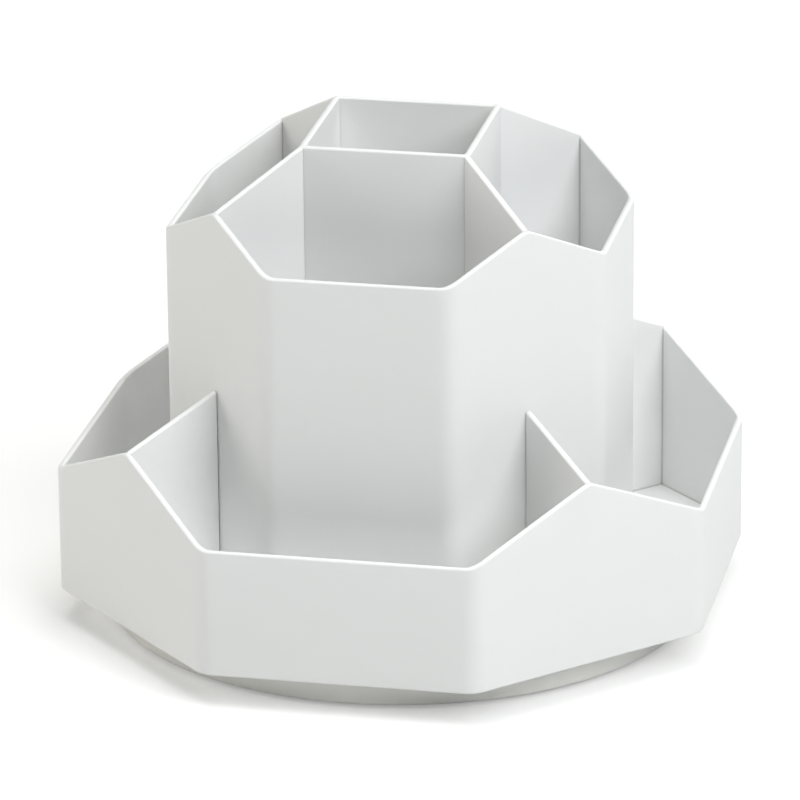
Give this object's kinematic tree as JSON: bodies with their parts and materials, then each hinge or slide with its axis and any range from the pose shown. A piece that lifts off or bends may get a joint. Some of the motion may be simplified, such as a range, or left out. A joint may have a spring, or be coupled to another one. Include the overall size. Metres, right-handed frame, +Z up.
{
  "type": "rotating desk organizer",
  "caption": "Octagonal pen organizer: a tall divided tower with a square centre tube stands in a low divided tray, on a round turning base.",
  "frame": {"origin": "on the turntable's axis, in the plane that the feet stand on", "axes": "+Z up along the turntable's axis, -Y towards the front straight-on side, +X to the right"},
  "size_m": [0.186, 0.186, 0.1418],
  "materials": {
    "shell": "satin moulded off-white plastic with a very fine texture",
    "base": "satin moulded off-white plastic, slightly warmer than the shell",
    "plate": "plain moulded grey-white plastic",
    "cage": "natural acetal",
    "bush": "natural acetal",
    "steel": "zinc-plated and polished steel",
    "rubber": "dark grey rubber"
  },
  "bodies": {
    "base": {"base_disc": "base", "lower_race": "steel", "pivot_pin": "steel", "thrust_washer": "steel", "retaining_clip": "steel", "foot_1": "rubber", "foot_2": "rubber", "foot_3": "rubber", "foot_4": "rubber", "foot_5": "rubber", "foot_6": "rubber"},
    "organizer": {"tray": "shell", "tower": "shell", "turntable_plate": "plate", "upper_race": "steel", "centre_bush": "bush", "tower_screw_1": "steel", "tower_screw_2": "steel", "tower_screw_3": "steel", "tower_screw_4": "steel"},
    "ball_ring": {"ball_cage": "cage", "ball_01": "steel", "ball_02": "steel", "ball_03": "steel", "ball_04": "steel", "ball_05": "steel", "ball_06": "steel", "ball_07": "steel", "ball_08": "steel", "ball_09": "steel", "ball_10": "steel", "ball_11": "steel", "ball_12": "steel"}
  },
  "joints": [
    {"name": "turntable_spin", "type": "hinge", "parent": "base", "child": "organizer", "pos_m": [0, 0, 0.01], "axis": [0, 0, 1], "continuous": true},
    {"name": "ball_ring_spin", "type": "hinge", "parent": "base", "child": "ball_ring", "pos_m": [0, 0, 0.0062], "axis": [0, 0, 1], "continuous": true}
  ],
  "couplings": [
    {"joint": "ball_ring_spin", "follows": "turntable_spin", "ratio": 0.5}
  ]
}
